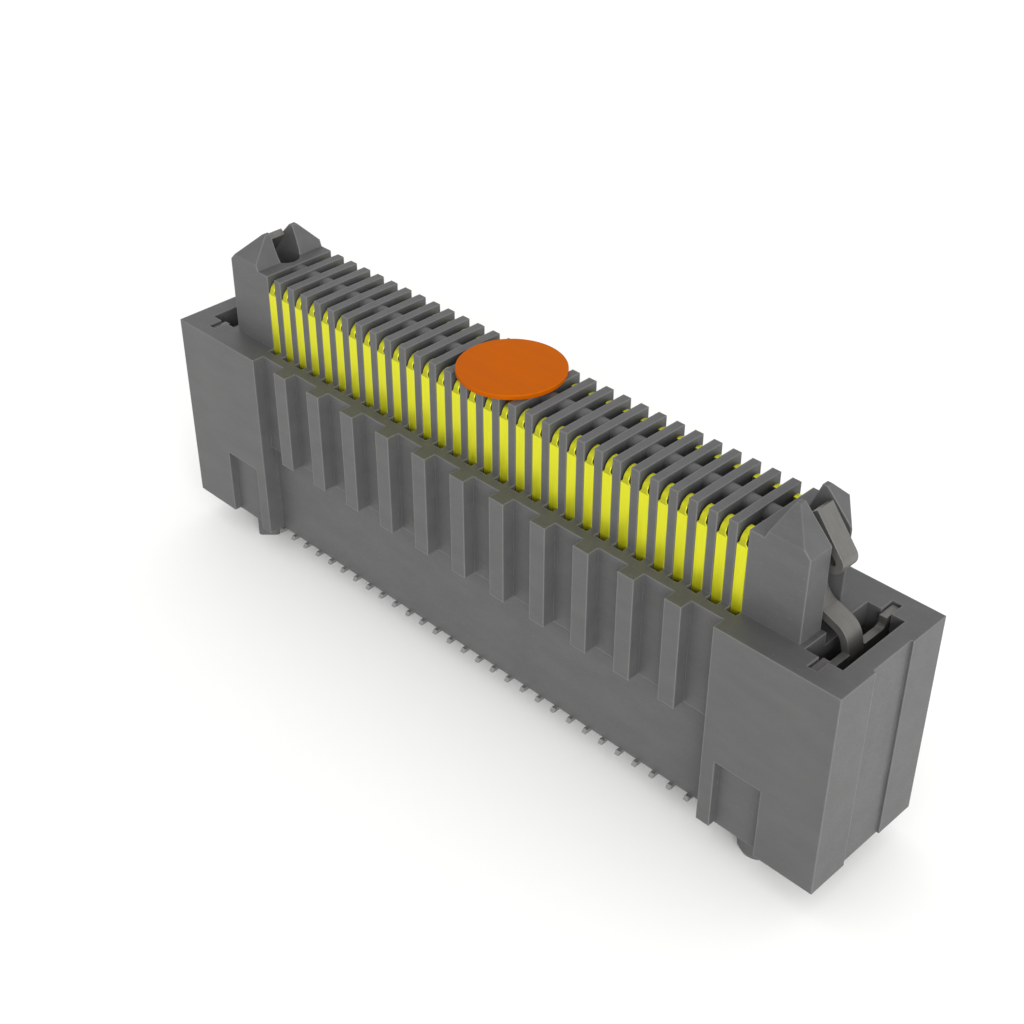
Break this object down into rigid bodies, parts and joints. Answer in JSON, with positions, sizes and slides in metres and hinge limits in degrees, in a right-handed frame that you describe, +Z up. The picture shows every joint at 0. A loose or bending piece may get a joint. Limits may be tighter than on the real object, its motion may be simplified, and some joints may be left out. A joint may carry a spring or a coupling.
{
  "type": "board to board connector",
  "caption": "Board to board connector plug with a finned tongue, gold-faced contacts in rows along both sides, spring latches at the ends, locating pins and a round pick-up film",
  "frame": {"origin": "centre of the housing's footprint, on the plane of its underside that stands on the circuit board", "axes": "+X along the length towards the end with the round pin, -Y towards the long side with the pins, +Z up from the board towards the mating connector"},
  "size_m": [0.033, 0.0056, 0.0139],
  "materials": {
    "housing_plastic": "moulded, satin",
    "contact_metal": "gold plated faces and tinned tails",
    "latch_metal": "rolled spring strip",
    "film": "smooth film"
  },
  "bodies": {
    "root": {"housing": "housing_plastic", "contact_pair_01": "contact_metal", "contact_pair_02": "contact_metal", "contact_pair_03": "contact_metal", "contact_pair_04": "contact_metal", "contact_pair_05": "contact_metal", "contact_pair_06": "contact_metal", "contact_pair_07": "contact_metal", "contact_pair_08": "contact_metal", "contact_pair_09": "contact_metal", "contact_pair_10": "contact_metal", "contact_pair_11": "contact_metal", "contact_pair_12": "contact_metal", "contact_pair_13": "contact_metal", "contact_pair_14": "contact_metal", "contact_pair_15": "contact_metal", "contact_pair_16": "contact_metal", "contact_pair_17": "contact_metal", "contact_pair_18": "contact_metal", "contact_pair_19": "contact_metal", "contact_pair_20": "contact_metal", "contact_pair_21": "contact_metal", "contact_pair_22": "contact_metal", "contact_pair_23": "contact_metal", "contact_pair_24": "contact_metal", "contact_pair_25": "contact_metal", "contact_pair_26": "contact_metal", "contact_pair_27": "contact_metal", "contact_pair_28": "contact_metal", "contact_pair_29": "contact_metal", "contact_pair_30": "contact_metal", "latch_left": "latch_metal", "latch_right": "latch_metal", "pickup_pad": "film"}
  },
  "joints": []
}
